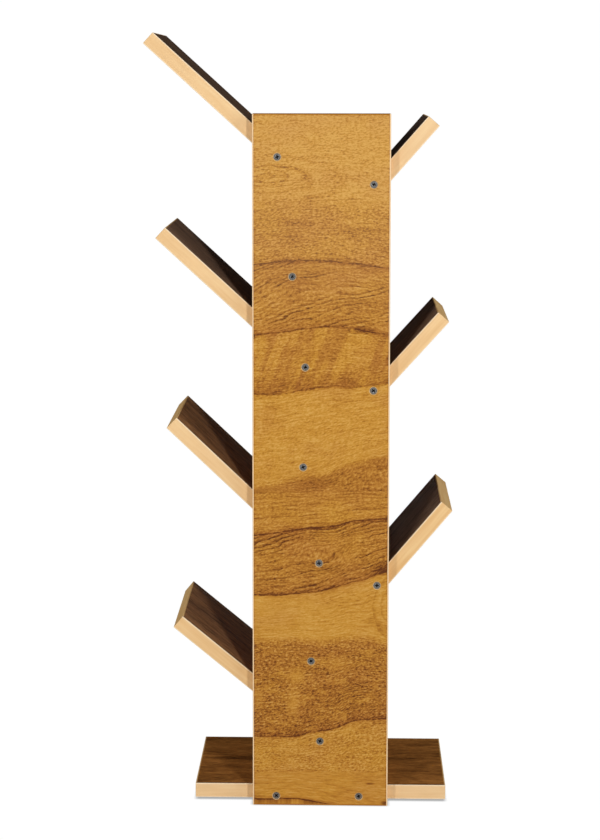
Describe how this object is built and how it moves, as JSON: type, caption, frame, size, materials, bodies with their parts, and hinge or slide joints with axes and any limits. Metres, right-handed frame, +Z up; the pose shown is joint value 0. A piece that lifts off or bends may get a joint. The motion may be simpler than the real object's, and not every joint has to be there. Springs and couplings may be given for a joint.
{
  "type": "tree shaped bookshelf",
  "caption": "Free-standing bookshelf with slanted boards that zigzag down a narrow back panel like branches on a trunk, on a flat base, with pale edge bands.",
  "frame": {"origin": "on the floor, in the middle of the back panel's foot", "axes": "+Z up, the open book side faces -Y, the panel's screwed back faces +Y, and the odd shelves' tips point to +X"},
  "size_m": [0.3773, 0.2, 0.9521],
  "materials": {
    "panel_face": "satin honey oak print",
    "shelf_face": "satin walnut print",
    "edge_band": "satin cream",
    "screw": "zinc plated",
    "foot_pad": "matte foam"
  },
  "bodies": {
    "root": {"back_panel": "panel_face", "base_board": "shelf_face", "base_front_band": "edge_band", "base_left_band": "edge_band", "base_rear_band": "edge_band", "base_right_band": "edge_band", "foot_pads": "foot_pad", "landing_screws": "screw", "panel_bottom_band": "edge_band", "panel_left_band": "edge_band", "panel_right_band": "edge_band", "panel_screws": "screw", "panel_top_band": "edge_band", "shelf_1_board": "shelf_face", "shelf_1_front_band": "edge_band", "shelf_1_rear_band": "edge_band", "shelf_1_tip_band": "edge_band", "shelf_2_board": "shelf_face", "shelf_2_front_band": "edge_band", "shelf_2_rear_band": "edge_band", "shelf_2_tip_band": "edge_band", "shelf_3_board": "shelf_face", "shelf_3_front_band": "edge_band", "shelf_3_rear_band": "edge_band", "shelf_3_tip_band": "edge_band", "shelf_4_board": "shelf_face", "shelf_4_front_band": "edge_band", "shelf_4_rear_band": "edge_band", "shelf_4_tip_band": "edge_band", "shelf_5_board": "shelf_face", "shelf_5_front_band": "edge_band", "shelf_5_rear_band": "edge_band", "shelf_5_tip_band": "edge_band", "shelf_6_board": "shelf_face", "shelf_6_front_band": "edge_band", "shelf_6_rear_band": "edge_band", "shelf_6_tip_band": "edge_band", "shelf_7_board": "shelf_face", "shelf_7_foot_band": "edge_band", "shelf_7_front_band": "edge_band", "shelf_7_rear_band": "edge_band", "shelf_7_tip_band": "edge_band"}
  },
  "joints": []
}
